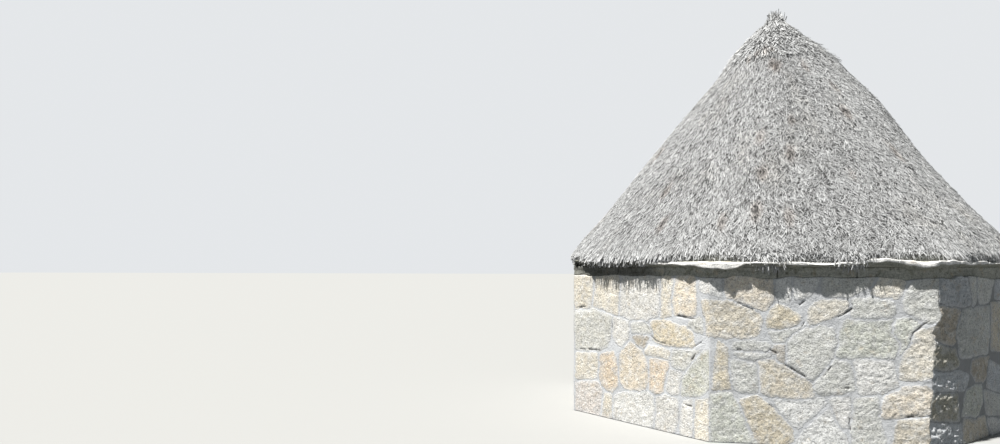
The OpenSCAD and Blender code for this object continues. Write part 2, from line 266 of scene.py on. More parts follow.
class HutSettings(bpy.types.PropertyGroup):
    """What a user would change about the hut's surfaces."""

    joint_width: FloatProperty(
        name="Mortar joint", description="Width of the mortar between two rubble stones",
        default=0.016, min=0.0, unit="LENGTH", subtype="DISTANCE")
    stone_relief: FloatProperty(
        name="Stone relief", description="How far the proudest stones stand out of the mortar",
        default=0.005, min=0.0, unit="LENGTH", subtype="DISTANCE")
    seen_pitch: FloatProperty(
        name="Pitch, sides seen most", description="Spacing of the mesh on the three front sides",
        default=0.0115, min=0.008, unit="LENGTH", subtype="DISTANCE")
    back_pitch: FloatProperty(
        name="Pitch, other sides", description="Spacing of the mesh on the other outer sides",
        default=0.022, min=0.008, unit="LENGTH", subtype="DISTANCE")
    room_pitch: FloatProperty(
        name="Pitch, room side", description="Spacing of the mesh on the wall's room side",
        default=0.034, min=0.01, unit="LENGTH", subtype="DISTANCE")
    straw_density: IntProperty(
        name="Straws a square metre", description="How thickly loose straws cover the thatch",
        default=4200, min=100)
    straw_length: FloatProperty(
        name="Straw length", description="Length of a loose straw end",
        default=0.104, min=0.02, unit="LENGTH", subtype="DISTANCE")
    straw_width: FloatProperty(
        name="Straw width", description="Width of a loose straw at its root",
        default=0.0082, min=0.002, unit="LENGTH", subtype="DISTANCE")
    shoulder: FloatProperty(
        name="Sagged shoulder", description="How far the roof bulges on its right shoulder",
        default=0.13, min=0.0, unit="LENGTH", subtype="DISTANCE")
    mortar: FloatVectorProperty(
        name="Mortar", description="Colour of the lime mortar",
        default=(0.72, 0.732, 0.748), min=0, max=1, subtype="COLOR")
    straw_pale: FloatVectorProperty(
        name="Pale straw", description="Colour of the palest straws",
        default=(0.675, 0.68, 0.682), min=0, max=1, subtype="COLOR")
    straw_dark: FloatVectorProperty(
        name="Dark straw", description="Colour of the darkest straws",
        default=(0.125, 0.125, 0.123), min=0, max=1, subtype="COLOR")
    floor: FloatVectorProperty(
        name="Floor", description="Colour of the studio floor",
        default=(0.43, 0.43, 0.42), min=0, max=1, subtype="COLOR")
    key_strength: FloatProperty(
        name="Key light", description="Strength of the key light", default=6.45, min=0)
    fill_strength: FloatProperty(
        name="Fill light", description="Strength of the even light all round", default=0.15, min=0)


# Shader helpers

class Signal:
    """A shader output that sums are written on, such as 1 - mask."""

    def __init__(self, owner, socket):
        self.owner = owner
        self.socket = socket

    def __add__(self, other):
        return self.owner.maths("ADD", self, other)

    def __sub__(self, other):
        return self.owner.maths("SUBTRACT", self, other)

    def __rsub__(self, other):
        return self.owner.maths("SUBTRACT", other, self)

    def __mul__(self, other):
        return self.owner.maths("MULTIPLY", self, other)

    def __pow__(self, other):
        return self.owner.maths("POWER", self, other)

    __radd__ = __add__
    __rmul__ = __mul__

    def out(self, name):
        """Another output of the same node."""
        return Signal(self.owner, self.socket.node.outputs[name])


class Tree:
    """A node tree under construction."""

    def __init__(self, tree):
        self.tree = tree

    def node(self, kind, settings=None, values=None, out=0):
        """Adds a node: first its settings, then its sockets' values or links."""
        made = self.tree.nodes.new(kind)
        for name, value in (settings or {}).items():
            if name == "stops":
                ramp = made.color_ramp
                while len(ramp.elements) < len(value):
                    ramp.elements.new(0.5)
                for element, (place, colour) in zip(ramp.elements, value):
                    element.position, element.color = place, (*colour, 1)
            else:
                setattr(made, name, value)
        for name, value in (values or {}).items():
            if isinstance(value, Signal):
                self.tree.links.new(value.socket, made.inputs[name])
            else:
                made.inputs[name].default_value = value
        return Signal(self, made.outputs[out]) if made.outputs else None

    def maths(self, operation, first, second):
        return self.node("ShaderNodeMath", {"operation": operation}, {0: first, 1: second})

    def vector(self, x, y, z):
        return self.node("ShaderNodeCombineXYZ", {}, {0: x, 1: y, 2: z})


class Finish(Tree):
    """A material whose pattern is worked out from the place on the object."""

    def __init__(self, name):
        self.material = bpy.data.materials.new(name)
        self.material.use_nodes = True
        super().__init__(self.material.node_tree)
        self.tree.nodes.clear()
        self.place = self.node("ShaderNodeTexCoord", out="Object")

    def noise(self, scale, detail=2.0, roughness=0.5, place=None):
        return self.node("ShaderNodeTexNoise", {"noise_dimensions": "3D"}, {
            "Vector": place or self.place, "Scale": scale, "Detail": detail,
            "Roughness": roughness})

    def ramp(self, value, low, high, to_low=0.0, to_high=1.0):
        """value mapped from low..high to to_low..to_high, and held there."""
        return self.node(
            "ShaderNodeMapRange", {"clamp": True, "interpolation_type": "SMOOTHSTEP"},
            {0: value, 1: low, 2: high, 3: to_low, 4: to_high})

    def blend(self, factor, first, second, kind="MIX"):
        """Two colours mixed. Plain tuples are colours."""
        first, second = (c if isinstance(c, Signal) else (*c, 1) for c in (first, second))
        return self.node("ShaderNodeMix", {"data_type": "RGBA", "blend_type": kind},
                         {0: factor, 6: first, 7: second}, out=2)

    def shade(self, colour, amount):
        """A colour made lighter or darker by a number that varies."""
        grey = self.node("ShaderNodeCombineColor", {}, {0: amount, 1: amount, 2: amount})
        return self.blend(1.0, colour, grey, "MULTIPLY")

    def attribute(self, name, out):
        return self.node("ShaderNodeAttribute", {"attribute_name": name}, out=out)

    def done(self, colour, roughness, height=None, depth=0.01, strength=1.0, specular=0.3):
        """Ends the tree in one Principled shader, with bump where a height is given."""
        values = {"Base Color": colour, "Roughness": roughness, "Specular IOR Level": specular}
        if height is not None:
            values["Normal"] = self.node("ShaderNodeBump", {}, {
                "Height": height, "Distance": depth, "Strength": strength})
        shader = self.node("ShaderNodeBsdfPrincipled", {}, values)
        self.node("ShaderNodeOutputMaterial", {}, {"Surface": shader})
        return self.material


# Colours that lie on the stones and in their joints; the dark line along the joints and the near black
# of empty joints are painted shadow
IRON_STAIN, WASHED_STONE = (0.62, 0.50, 0.34), (0.80, 0.80, 0.79)
JOINT_SHADOW_LINE, EMPTY_JOINT_SHADE = (0.30, 0.29, 0.28), (0.09, 0.085, 0.08)


def granite(finish, colour, pitting=1.0):
    """Weathered granite over a colour: grains, dark mica, pits and iron stain.
    Returns its colour and its height."""
    grain = finish.noise(70, 3, 0.6)
    pits = finish.noise(48, 5, 0.72)
    cloud = finish.noise(7, 3, 0.55)
    stain = finish.ramp(finish.noise(9, 4, 0.6), 0.55, 0.75, 0, 0.42)
    mica = finish.node("ShaderNodeTexVoronoi", {"feature": "F1"},
                       {"Vector": finish.place, "Scale": 170})
    colour = finish.blend(stain, colour, IRON_STAIN)
    level = finish.ramp(cloud, 0.3, 0.7, 0.92, 1.08) * finish.ramp(grain, 0.34, 0.66, 0.80, 1.18)
    level = level * finish.ramp(mica, 0.04, 0.16, 0.78, 1.02)
    level = level * finish.ramp(pits, 0.36, 0.50, 1 - 0.34 * pitting, 1.09)
    colour = finish.shade(colour, level)
    return colour, pits * 0.65 + grain * 0.35


def rubble_finish(settings):
    """Granite rubble in flush lime mortar. The mesh says how far each point is
    inside its stone's edge."""
    finish = Finish("rubble_and_mortar")
    edge = finish.attribute("stone_edge", "Fac")
    edge = edge + (finish.noise(38, 5, 0.7) - 0.5) * 0.050 + (finish.noise(11, 2) - 0.5) * 0.030
    own = finish.attribute("stone_colour", "Color")
    washed = finish.ramp(finish.noise(13, 4, 0.65), 0.42, 0.66, 0, 0.55)
    stone, height = granite(finish, finish.blend(washed, own, WASHED_STONE))
    lime = finish.shade(tuple(settings.mortar), finish.ramp(height, 0.34, 0.52, 0.84, 1.05))
    lime = finish.shade(lime, finish.ramp(finish.noise(4, 2), 0.35, 0.65, 0.90, 1.05))
    in_stone = finish.ramp(edge, -0.003, 0.008)
    film = finish.ramp(edge, 0.0, 0.05, 0.40, 0.0)
    # A thin dark line along the stones' edges: painted shadow where stone overhangs mortar
    edge_shadow_line = finish.ramp(edge, -0.006, 0.0) * finish.ramp(edge, 0.0, 0.006, 1, 0)
    edge_shadow_line = edge_shadow_line * finish.ramp(finish.noise(6, 3), 0.50, 0.64, 0.0, 0.5)
    colour = finish.blend(in_stone * (1 - film), lime, stone)
    colour = finish.blend(edge_shadow_line, colour, JOINT_SHADOW_LINE)
    # Joints that have lost their mortar are painted near black: painted shade in the recess
    joint_depth_and_shade = finish.ramp(finish.attribute("open_joint", "Fac"), 0.25, 0.85, 0.0, 0.8)
    colour = finish.blend(joint_depth_and_shade, colour, EMPTY_JOINT_SHADE)
    bump = height * (in_stone * 0.35 + 0.65)
    return finish.done(colour, finish.ramp(height, 0.3, 0.7, 0.95, 0.82), bump, 0.017, 1.0)


def stone_finish(name, colour, broken, lichen, pitting=0.8):
    """Single stones: weathered on their faces, pale where they are broken, darker where painted shade
    is marked.
    """
    finish = Finish(name)
    fresh = finish.attribute("broken", "Fac") + finish.noise(24, 3) * 0.5 - 0.25
    grown = finish.ramp(finish.noise(16, 4, 0.65), 0.50, 0.66, 0, 0.7)
    base = finish.blend(grown, colour, lichen)
    base = finish.blend(finish.ramp(fresh, 0.35, 0.60), base, broken)
    base, height = granite(finish, base, pitting)
    # Painted shade: the stones under the straw on the left are darkened where the eave's shadow lies
    base = finish.shade(base, 1 - finish.attribute("damp", "Fac") * 0.62)
    return finish.done(base, 0.88, height, 0.008, 0.8)


def straw_finish():
    finish = Finish("weathered_thatch")
    own = finish.attribute("straw_colour", "Color")
    fleck = finish.ramp(finish.noise(90, 3), 0.3, 0.7, 0.80, 1.12)
    return finish.done(finish.shade(own, fleck), 0.78, finish.noise(260, 2), 0.002, 0.5, 0.25)


def polar_place(finish, along, across, up):
    """Coordinates round the hut's axis: the radius, the distance round and the height,
    each times its own scale."""
    split = finish.node("ShaderNodeSeparateXYZ", {}, {0: finish.place}, out="X")
    radius = (split * split + split.out("Y") * split.out("Y")) ** 0.5
    angle = finish.maths("ARCTAN2", split.out("Y"), split)
    return finish.vector(radius * along, angle * across, (split.out("Z") + radius * ROOF_RISE) * up)


def wood_finish(name, pale, dark, along, across, up):
    """Weathered round wood with grain along it, bark left in places."""
    finish = Finish(name)
    grain = finish.noise(1.0, 5, 0.6, polar_place(finish, along, across, up))
    colour = finish.node("ShaderNodeValToRGB", {"stops": [(0.32, dark), (0.68, pale)]}, {0: grain})
    bark = finish.ramp(finish.noise(9, 4), 0.54, 0.62, 0, 0.6)
    colour = finish.blend(bark, colour, tuple(0.5 * c for c in dark))
    return finish.done(colour, 0.8, grain + bark * 0.5, 0.004, 0.8)


# Mesh helpers

def lattice(x, y, cell, seed):
    """Smooth random heights from -1 to 1, a new one every cell."""
    size = 97
    table = np.random.RandomState(seed).uniform(-1, 1, (size, size))
    column, row = np.floor(x / cell).astype(int), np.floor(y / cell).astype(int)
    right, up = x / cell - column, y / cell - row
    right, up = right * right * (3 - 2 * right), up * up * (3 - 2 * up)

    def at(a, b):
        return table[a % size, b % size]

    low = at(column, row) * (1 - right) + at(column + 1, row) * right
    high = at(column, row + 1) * (1 - right) + at(column + 1, row + 1) * right
    return low * (1 - up) + high * up


def rough(x, y, cell, seed, octaves=3):
    """Smooth random heights with finer ones on them."""
    return sum(lattice(x, y, cell / 2 ** i, seed + 17 * i) / 2 ** i for i in range(octaves)) / 1.6


def ripple(x, cell, seed, row=0):
    """Random heights along one line."""
    return rough(x, x * 0 + row, cell, seed)


def smooth(value, low, high):
    """0 up to low and 1 from high on, with a soft step between them."""
    part = np.clip((value - low) / (high - low), 0, 1)
    return part * part * (3 - 2 * part)


def fade(value, low, high):
    return 1 - smooth(value, low, high)


def polar(co):
    """The direction round the hut and the distance from its axis."""
    return np.arctan2(co[:, 1], co[:, 0]), np.hypot(co[:, 0], co[:, 1])


def away_from(angle, direction):
    """The turn between angles and a direction, as a positive number."""
    return np.abs((angle - direction + math.pi) % (2 * math.pi) - math.pi)


def bulges(angle, table):
    """The largest of a table's bulges in each direction round the hut."""
    found = np.zeros(angle.shape)
    for direction, half, most in table:
        off = away_from(angle, math.radians(direction)) / math.radians(half)
        found = np.maximum(found, most * fade(off, 0.7, 1.15))
    return found


def vectors(parts, name):
    """One vector of each vertex or face, such as its place or its normal."""
    found = np.empty(len(parts) * 3)
    parts.foreach_get(name, found)
    return found.reshape(-1, 3)


def places(mesh):
    return vectors(mesh.vertices, "co")


def set_places(mesh, to):
    mesh.vertices.foreach_set("co", np.asarray(to, np.float32).ravel())
    mesh.update()


def set_attribute(mesh, name, kind, values):
    """Stores one number or colour for each vertex."""
    made = mesh.attributes.new(name, kind, "POINT")
    if kind == "FLOAT_COLOR":
        values = np.concatenate([values, np.ones((len(values), 1))], axis=1)
    made.data.foreach_set("color" if kind == "FLOAT_COLOR" else "value",
                          np.asarray(values, np.float32).ravel())


def mesh_of(name, bm):
    """Ends a bmesh in a mesh."""
    mesh = bpy.data.meshes.new(name)
    bm.to_mesh(mesh)
    bm.free()
    return mesh


def in_scene(name, data):
    """A new object of a mesh, a lamp or a lens."""
    made = bpy.data.objects.new(name, data)
    bpy.context.scene.collection.objects.link(made)
    return made


def piece_of(name, bm, material, nodes, flat=False):
    """Makes a finished piece of a bmesh, riding on the hut."""
    mesh = mesh_of(name, bm)
    mesh.materials.append(material)
    mesh.polygons.foreach_set("use_smooth", [not flat] * len(mesh.polygons))
    piece = in_scene(name, mesh)
    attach(piece, "root")
    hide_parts(*nodes)
    return piece


def copy_of(node):
    """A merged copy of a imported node, with its flat faces whole."""
    bm = bmesh.new()
    bm.from_mesh(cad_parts[node].data)
    bmesh.ops.remove_doubles(bm, verts=bm.verts, dist=WELD)
    return bm


def turn_about_axis(bm, side):
    turn = Matrix.Rotation(side * TURN, 3, "Z")
    bmesh.ops.rotate(bm, verts=bm.verts, cent=(0, 0, 0), matrix=turn)


def cut(bm, axis, values):
    """Cuts the faces along planes square to an axis."""
    for value in values:
        where, direction = Vector((0, 0, 0)), Vector((0, 0, 0))
        where[axis], direction[axis] = value, 1
        bmesh.ops.bisect_plane(
            bm, geom=bm.verts[:] + bm.edges[:] + bm.faces[:], dist=WELD,
            plane_co=where, plane_no=direction)


def round_arrises(bm, offset, segments=2):
    """Makes the flat faces whole and rounds the edges between them."""
    bmesh.ops.dissolve_limit(
        bm, angle_limit=math.radians(1), verts=bm.verts, edges=bm.edges)
    sharp = [e for e in bm.edges if len(e.link_faces) == 2 and e.calc_face_angle(0) > 0.3]
    bmesh.ops.bevel(
        bm, geom=sharp, affect="EDGES", offset=offset, segments=segments, profile=0.5,
        material=-1, clamp_overlap=True)
    bmesh.ops.triangulate(bm, faces=bm.faces)


def octagon_place(co):
    """For each point: the distance from the axis square to its side, a place for
    patterns that run along the sides, the side's outward direction, and the place
    along the side."""
    angles = -math.pi / 2 + TURN * np.arange(SIDES)
    outward = np.stack([np.cos(angles), np.sin(angles)], 1)
    apothems = co[:, :2] @ outward.T
    side = apothems.argmax(1)
    facing = outward[side]
    along = co[:, 0] * -facing[:, 1] + co[:, 1] * facing[:, 0]
    return apothems.max(1), along + side * SIDE_STEP, facing, along


# Rubble walls

def in_metres(stones):
    """A table of stones with its centimetres made metres."""
    return [(tone, *(place / 100 for place in outline)) for tone, *outline in stones]


def random_outline(pick, u, z, width, height):
    """Corners of a rough block that about fills a rectangle, anticlockwise."""
    jitter = 0.13 * min(width, height)
    corners = [np.array([u + x * width / 2, z + y * height / 2]) + pick.uniform(-jitter, jitter, 2)
               for x, y in ((-1, -1), (1, -1), (1, 1), (-1, 1))]
    outline = []
    for i in range(4):
        here, before, after = corners[i], corners[i - 1], corners[(i + 1) % 4]
        if pick.uniform() < 0.4:
            share = pick.uniform(0.12, 0.38, 2)
            outline += [*(here + share[0] * (before - here)), *(here + share[1] * (after - here))]
        else:
            outline += [*here]
    return outline


def random_stones(start, end, height, seed):
    """Rough courses of mixed stones between two places along a side."""
    pick = np.random.RandomState(seed)
    stones = []
    bed = 0.0
    while bed < height - 0.05:
        course = pick.uniform(*COURSE_HEIGHT)
        if height - bed - course < TOO_LOW:
            course = height - bed
        u = start
        while u < end - 0.05:
            width = pick.uniform(*STONE_WIDTH)
            if end - u - width < TOO_NARROW:
                width = end - u
            layers = 2 if course > 0.30 and pick.uniform() < 0.35 else 1
            for layer in range(layers):
                middle = bed + course * (layer + 0.5) / layers
                tone = COMMON_TONES[pick.randint(len(COMMON_TONES))]
                stones.append((tone, *random_outline(
                    pick, u + width / 2, middle, width - SEEDED_JOINT,
                    course / layers - SEEDED_JOINT)))
            u += width
        bed += course
    return stones


def stone_field(u, z, stones, joint, seed):
    """For each point: the stone it lies in, and how far inside the stone's edge.
    Outlines are rounded and let out a little, and the joint lies midway between them."""
    rounding, let_out, far_off = 80, 0.030, 50.0
    bent_u = u + 0.011 * rough(u, z, 0.12, seed) + 0.006 * rough(u, z, 0.040, seed + 3, 1)
    bent_z = z + 0.011 * rough(u, z, 0.12, seed + 5) + 0.006 * rough(u, z, 0.040, seed + 7, 1)
    nearest, next_one = np.full(u.shape, far_off), np.full(u.shape, far_off)
    which = np.zeros(u.shape, int)
    for i, (tone, *outline) in enumerate(stones):
        corners = np.array(outline).reshape(-1, 2)
        outside = 0
        for corner, edge in zip(corners, np.roll(corners, -1, 0) - corners):
            length = math.hypot(*edge)
            beyond = ((bent_u - corner[0]) * edge[1] - (bent_z - corner[1]) * edge[0]) / length
            outside = outside + np.exp(rounding * beyond)
        far = np.log(outside) / rounding - let_out
        closer = far < nearest
        next_one = np.where(closer, nearest, np.minimum(next_one, far))
        nearest = np.where(closer, far, nearest)
        which = np.where(closer, i, which)
    return which, np.minimum(-nearest, (next_one - nearest) / 2 - joint / 2)


def open_joints(u, z, side):
    """How deep each point lies in a joint that has lost its mortar, from 0 to 1."""
    depth = np.zeros(u.shape)
    for u0, z0, u1, z1, width in OPEN_JOINTS.get(side, ()):
        along = np.clip(((u - u0) * (u1 - u0) + (z - z0) * (z1 - z0))
                        / ((u1 - u0) ** 2 + (z1 - z0) ** 2), 0, 1)
        away = np.hypot(u - u0 - along * (u1 - u0), z - z0 - along * (z1 - z0))
        away = away + 0.008 * rough(u, z, 0.045, 91)
        depth = np.maximum(depth, fade(away, 0.0, width))
    return depth


def bed_line(u, side):
    """How far the joint under the levelling stones lies over or under its level."""
    return 0.030 * ripple(u + side * SIDE_STEP, 0.26, 37) * fade(np.abs(u), 0.86, 1.02)


def corner_heights(corner, z, outer):
    """How far the faces on the two sides of a corner stand out there."""
    wave = 0.006 * ripple(z, 0.22, 300 + corner + 40 * outer, corner)
    if outer and corner == RUGGED_CORNER:
        quoins = np.interp(z, *zip(*QUOINS)) + 0.010 * ripple(z, 0.055, 351, 3)
        return 0.008 + 2 * wave, quoins
    return wave, wave


def blank_leaf(width, pitch):
    """A grid with its rim folded back and closed, to be shaped into a leaf of a wall."""
    bm = bmesh.new()
    bmesh.ops.create_grid(
        bm, x_segments=round(width / pitch), y_segments=round(RUBBLE_TOP / pitch), size=0.5)
    rim = [e for e in bm.edges if e.is_boundary]
    made = bmesh.ops.extrude_edge_only(bm, edges=rim)["geom"]
    folded = [part for part in made if isinstance(part, bmesh.types.BMVert)]
    bmesh.ops.translate(bm, verts=folded, vec=(0, 0, -1))
    bmesh.ops.holes_fill(bm, edges=[e for e in bm.edges if e.is_boundary], sides=0)
    return mesh_of("leaf", bm)


def rubble_leaf(bm_all, settings, side, outer, span, stones, pitch, seed):
    """One leaf of a wall: a grid of masonry on its face, closed at the sides
    and at the wall's core. span is the place it starts and ends, None at a mitre."""
    face = FRONT_FACE if outer else ROOM_FACE
    core = (FRONT_FACE + ROOM_FACE) / 2
    hand = 1 if outer else -1

    def edge_at(end, apothem):
        return span[end] if span[end] is not None else (2 * end - 1) * apothem * SIDE_SLOPE

    width = edge_at(1, face) - edge_at(0, face)
    mesh = blank_leaf(width, pitch)
    grid = places(mesh)
    share, z = grid[:, 0] * hand + 0.5, (grid[:, 1] + 0.5) * RUBBLE_TOP
    front = grid[:, 2] > -0.5
    u = edge_at(0, face) + share * width
    which, edge = stone_field(u, z, stones, settings.joint_width, seed)
    # Stones by the rugged corner are coarser, and the room's corners are filled with mortar
    coarse = np.ones(u.shape)
    for end in (0, 1):
        corner = (side - 1 + end) % SIDES
        from_corner = np.abs(u - edge_at(end, face))
        if span[end] is None and outer and corner == RUGGED_CORNER:
            coarse = coarse + (4.2 - 3.8 * end) * fade(from_corner, 0.45, 1.1)
        elif span[end] is None and not outer:
            band = 0.045 + 0.035 * ripple(z, 0.3, seed + 31, corner)
            edge = np.minimum(edge, from_corner - band)
    # Every stone stands out and leans by its own amount, and its face is rough
    pick = np.random.RandomState(seed + 1)
    proud = pick.uniform(0.1, 1.0, len(stones)) * settings.stone_relief
    lean_u, lean_z = pick.normal(0, 0.008, (2, len(stones)))
    middles = np.array([np.reshape(s[1:], (-1, 2)).mean(0) for s in stones])
    du, dz = u - middles[which, 0], z - middles[which, 1]
    stone = proud[which] + lean_u[which] * du + lean_z[which] * dz
    grit = 0.0024 * rough(u * 0.8, z, 0.12, seed + 9)
    grit = coarse * (grit + 0.0042 * rough(u * 0.8, z, 0.026, seed + 13, 2))
    stone = np.clip(stone + grit, -0.004, 0.045)
    washed_out = np.maximum(rough(u, z, 0.35, seed + 23), 0)
    lime = 0.001 + 0.002 * rough(u, z, 0.06, seed + 21) - 0.006 * washed_out
    rounded = smooth(edge + 0.008 * rough(u, z, 0.05, seed + 25), -0.018, 0.040)
    height = lime + (stone - lime) * rounded
    joint_depth_and_shade = open_joints(u, z, side) if outer else np.zeros(u.shape)
    # On the shaded sides every joint is sunk a little and painted dark as painted shade
    if outer and side in SHADED_SIDES:
        joint_depth_and_shade = np.maximum(joint_depth_and_shade, 0.62 - 0.62 * smooth(edge, -0.004, 0.008))
    height = height - 0.010 * joint_depth_and_shade
    if outer and side == SWOLLEN_SIDE:
        from_corner = u - edge_at(0, face)
        height = height + 0.034 * smooth(from_corner, 0.0, 0.50) * fade(from_corner, 0.6, 1.2)
    # At a mitre both sides' faces meet, and the leaf is drawn out to their corner
    ends = []
    for end in (0, 1):
        if span[end] is None:
            corner = (side - 1 + end) % SIDES
            rugged = outer and corner == RUGGED_CORNER
            from_corner = np.abs(u - edge_at(end, face))
            near = fade(from_corner, 0.0, 0.22 if rugged else 0.07)
            own, other = corner_heights(corner, z, outer)[::2 * end - 1]
            kept = grit * smooth(from_corner, 0.0, 0.035) if rugged else 0
            height = height * (1 - near) + (own + kept) * near
            mitre = ((face + hand * other) / math.sin(TURN)
                     - (face + hand * own) / math.tan(TURN)) * (2 * end - 1)
            ends.append(np.where(front, mitre, (2 * end - 1) * core * SIDE_SLOPE))
        else:
            ends.append(np.full(u.shape, span[end]))
    apothem = np.where(front, face + hand * height, core)
    level = z + front * outer * bed_line(u, side) * smooth(z, RUBBLE_TOP - 0.14, RUBBLE_TOP)
    set_places(mesh, np.stack([ends[0] + share * (ends[1] - ends[0]), -apothem, level], 1))
    tones = np.array([TONES[s[0]] for s in stones]) * pick.uniform(0.95, 1.05, (len(stones), 1))
    if side == WARM_SIDE:
        tones = tones * WARM_TINT
    set_attribute(mesh, "stone_colour", "FLOAT_COLOR", tones[which])
    set_attribute(mesh, "stone_edge", "FLOAT", edge)
    set_attribute(mesh, "open_joint", "FLOAT", joint_depth_and_shade)
    mesh.transform(Matrix.Rotation(side * TURN, 4, "Z"))
    bm_all.from_mesh(mesh)
    bpy.data.meshes.remove(mesh)


WALLS = [
    # node, side, span of its outer face, stones or None for a random pattern
    ("wall_front", 0, (None, None), in_metres(FRONT_STONES)),
    ("wall_front_right", 1, (None, None), in_metres(FRONT_RIGHT_STONES)
     + random_stones(0.65, FRONT_FACE * SIDE_SLOPE, RUBBLE_TOP, 69)),
    ("wall_right", 2, (None, None), None),
    ("wall_back_right", 3, (None, None), None),
    ("wall_back_left", 5, (None, None), None),
    ("wall_left", 6, (None, None), None),
    ("wall_front_left", 7, (None, None), in_metres(FRONT_LEFT_STONES)),
    ("wall_back_beside_door_left", BACK_SIDE, (BESIDE_DOOR, None), None),
    ("wall_back_beside_door_right", BACK_SIDE, (None, -BESIDE_DOOR), None),
]


class HUT_OT_rubble_walls(bpy.types.Operator):
    """Build the rubble walls, stone by stone on both faces"""

    bl_idname = "hut.rubble_walls"
    bl_label = "Rubble Walls"

    def execute(self, context):
        settings = context.scene.hut
        material = rubble_finish(settings)
        for number, (node, side, span, stones) in enumerate(WALLS):
            reach = FRONT_FACE * SIDE_SLOPE
            start, end = (s if s is not None else w for s, w in zip(span, (-reach, reach)))
            bm = bmesh.new()
            rubble_leaf(
                bm, settings, side, True, span,
                stones or random_stones(start, end, RUBBLE_TOP, 70 + number),
                settings.seen_pitch if stones else settings.back_pitch, 500 + 40 * number)
            rubble_leaf(
                bm, settings, side, False, span,
                random_stones(start, end, RUBBLE_TOP, 170 + number),
                settings.room_pitch, 900 + 40 * number)
            piece_of("rubble_" + node, bm, material, [node])
        return {"FINISHED"}


class HUT_OT_levelling_stones(bpy.types.Operator):
    """Roughen the long flat stones under the eaves slabs"""

    bl_idname = "hut.levelling_stones"
    bl_label = "Levelling Stones"

    def execute(self, context):
        bm_all = bmesh.new()
        low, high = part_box("levelling_course")
        face = -low.y
        for side in range(SIDES):
            bm = copy_of("levelling_course")
            turn_about_axis(bm, -side)
            bmesh.ops.delete(bm, geom=[v for v in bm.verts if abs(v.co.x) > -v.co.y * SIDE_SLOPE],
                             context="VERTS")
            round_arrises(bm, 0.009)
            cut(bm, 0, np.arange(-1.05, 1.06, 0.03 if side in SEEN_SIDES else 0.05))
            cut(bm, 1, [-face + 0.02, -face + 0.07, -ROOM_FACE - 0.05])
            cut(bm, 2, np.linspace(low.z, high.z, 6)[1:-1])
            turn_about_axis(bm, side)
            mesh = mesh_of("course", bm)
            bm_all.from_mesh(mesh)
            bpy.data.meshes.remove(mesh)
        piece = piece_of("levelling_stones", bm_all, stone_finish(
            "levelling_stone", (0.46, 0.46, 0.41), (0.58, 0.57, 0.52), (0.20, 0.20, 0.15)),
            ["levelling_course"])
        mesh = piece.data
        co = places(mesh)
        apothem, along, facing, u = octagon_place(co)
        on_face = smooth(apothem, face - 0.05, face - 0.005)
        level = (co[:, 2] - low.z) / (high.z - low.z)
        split = np.abs(level - 0.5 - 0.25 * ripple(along, 0.5, 31)) < 0.12
        push = -0.004 - 0.015 * np.abs(rough(along, co[:, 2], 0.10, 33)) - 0.009 * split
        co[:, :2] += facing * (push * on_face)[:, None]
        # Marks the levelling stones under the left eave for painted shade
        set_attribute(mesh, "damp", "FLOAT", bulges(polar(co)[0], PAINTED_EAVE_SHADE))
        ragged = np.maximum(ripple(along, 0.24, 35, 4), 0)
        co[:, 2] += on_face * (np.clip(1 - level * 3, 0, 1) * 0.008 * ragged
                               + (1 - level) * bed_line(u, np.round((along - u) / SIDE_STEP)))
        set_places(mesh, co)
        return {"FINISHED"}


